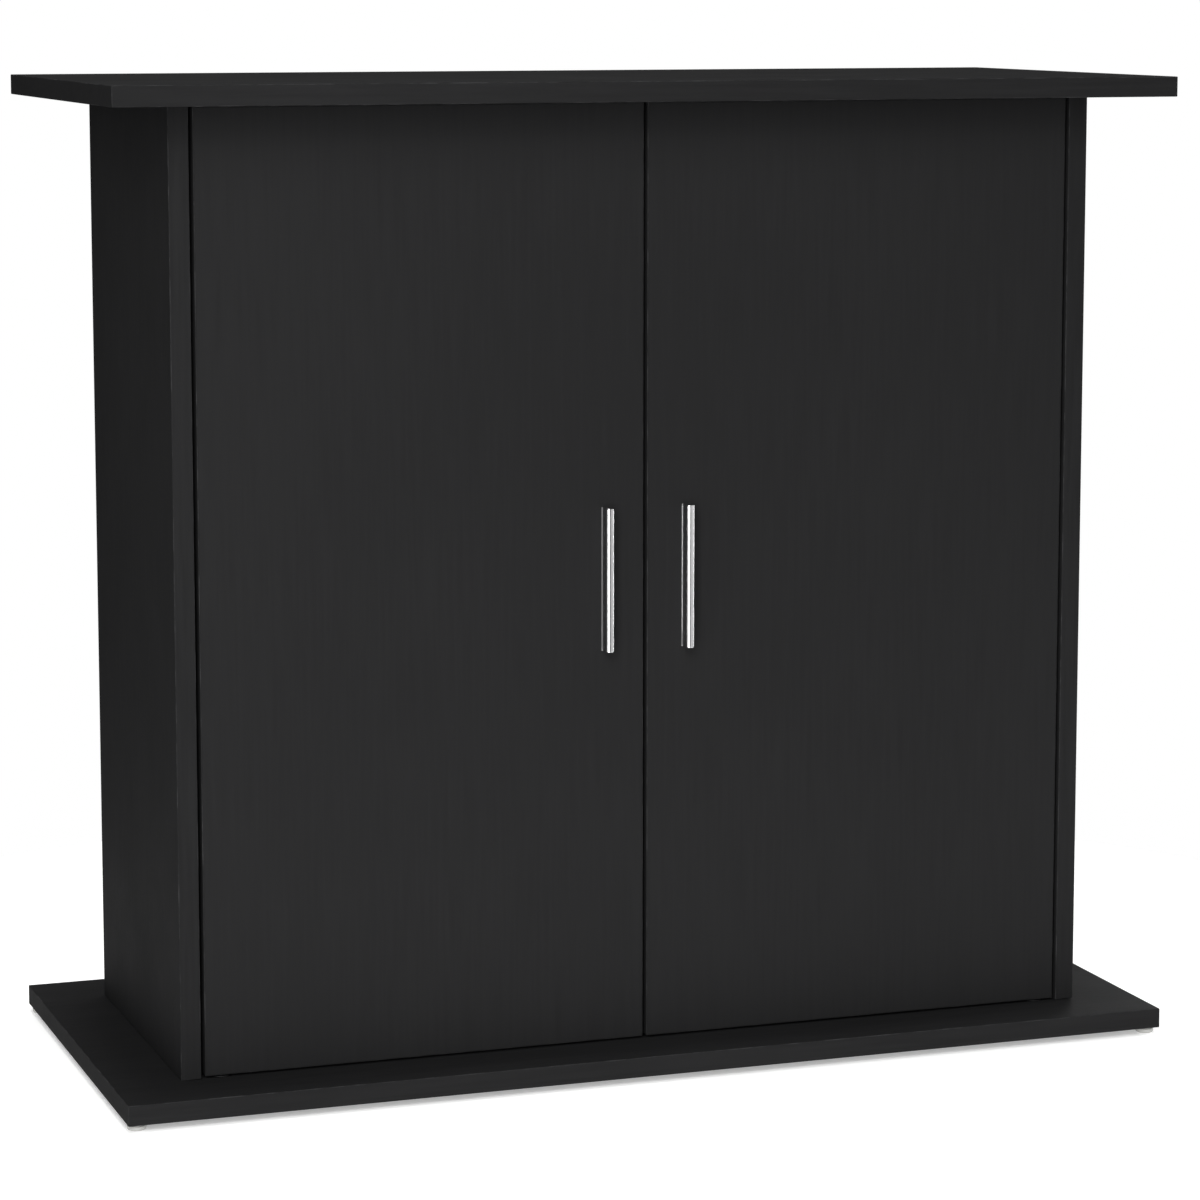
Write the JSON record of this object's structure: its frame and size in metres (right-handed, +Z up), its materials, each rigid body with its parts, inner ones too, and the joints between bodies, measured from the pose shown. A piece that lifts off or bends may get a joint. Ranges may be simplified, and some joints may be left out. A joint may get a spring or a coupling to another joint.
{
  "type": "aquarium stand cabinet",
  "caption": "Black melamine aquarium stand with overhanging top and base boards, an inset carcass, flush hinged doors with slim bar handles, shelves and low glides.",
  "frame": {"origin": "on the floor, under the middle of the cabinet, at the underside of the glides", "axes": "+X to the right along the long side, +Z up, the doors face -Y"},
  "size_m": [0.81, 0.36, 0.735],
  "materials": {
    "black_melamine": "matt black melamine on chipboard, faint fine grain",
    "door_melamine": "smooth satin black melamine on chipboard",
    "handle_chrome": "polished chrome plate",
    "zinc_steel": "bright zinc plated",
    "white_plastic": "moulded white plastic",
    "black_plastic": "moulded black nylon",
    "beech": "plain turned beech"
  },
  "bodies": {
    "carcass": {"back_panel": "black_melamine", "bottom_panel": "black_melamine", "centre_divider": "black_melamine", "divider_bottom_dowel": "beech", "divider_top_dowel": "beech", "front_left_glide": "white_plastic", "front_middle_glide": "white_plastic", "front_right_glide": "white_plastic", "left_bottom_front_cam": "zinc_steel", "left_bottom_front_cam_bolt": "zinc_steel", "left_bottom_rear_cam": "zinc_steel", "left_bottom_rear_cam_bolt": "zinc_steel", "left_door_bottom_pivot_bush": "black_plastic", "left_door_top_pivot_bush": "black_plastic", "left_magnetic_catch": "black_plastic", "left_shelf": "black_melamine", "left_shelf_front_inner_pin": "zinc_steel", "left_shelf_front_outer_pin": "zinc_steel", "left_shelf_rear_inner_pin": "zinc_steel", "left_shelf_rear_outer_pin": "zinc_steel", "left_side_panel": "black_melamine", "left_top_front_cam": "zinc_steel", "left_top_front_cam_bolt": "zinc_steel", "left_top_rear_cam": "zinc_steel", "left_top_rear_cam_bolt": "zinc_steel", "rear_left_glide": "white_plastic", "rear_middle_glide": "white_plastic", "rear_right_glide": "white_plastic", "right_bottom_front_cam": "zinc_steel", "right_bottom_front_cam_bolt": "zinc_steel", "right_bottom_rear_cam": "zinc_steel", "right_bottom_rear_cam_bolt": "zinc_steel", "right_door_bottom_pivot_bush": "black_plastic", "right_door_top_pivot_bush": "black_plastic", "right_magnetic_catch": "black_plastic", "right_shelf": "black_melamine", "right_shelf_front_inner_pin": "zinc_steel", "right_shelf_front_outer_pin": "zinc_steel", "right_shelf_rear_inner_pin": "zinc_steel", "right_shelf_rear_outer_pin": "zinc_steel", "right_side_panel": "black_melamine", "right_top_front_cam": "zinc_steel", "right_top_front_cam_bolt": "zinc_steel", "right_top_rear_cam": "zinc_steel", "right_top_rear_cam_bolt": "zinc_steel", "top_panel": "black_melamine"},
    "left_door_leaf": {"left_door": "door_melamine", "left_door_bottom_pivot_pin": "zinc_steel", "left_door_top_pivot_pin": "zinc_steel", "left_handle": "handle_chrome", "left_handle_lower_screw": "zinc_steel", "left_handle_upper_screw": "zinc_steel", "left_strike_plate": "zinc_steel"},
    "right_door_leaf": {"right_door": "door_melamine", "right_door_bottom_pivot_pin": "zinc_steel", "right_door_top_pivot_pin": "zinc_steel", "right_handle": "handle_chrome", "right_handle_lower_screw": "zinc_steel", "right_handle_upper_screw": "zinc_steel", "right_strike_plate": "zinc_steel"}
  },
  "joints": [
    {"name": "left_door_hinge", "type": "hinge", "parent": "carcass", "child": "left_door_leaf", "pos_m": [-0.324, -0.1235, 0.37025], "axis": [0, 0, -1], "range_deg": [0, 110]},
    {"name": "right_door_hinge", "type": "hinge", "parent": "carcass", "child": "right_door_leaf", "pos_m": [0.324, -0.1235, 0.37025], "axis": [0, 0, 1], "range_deg": [0, 110]}
  ]
}
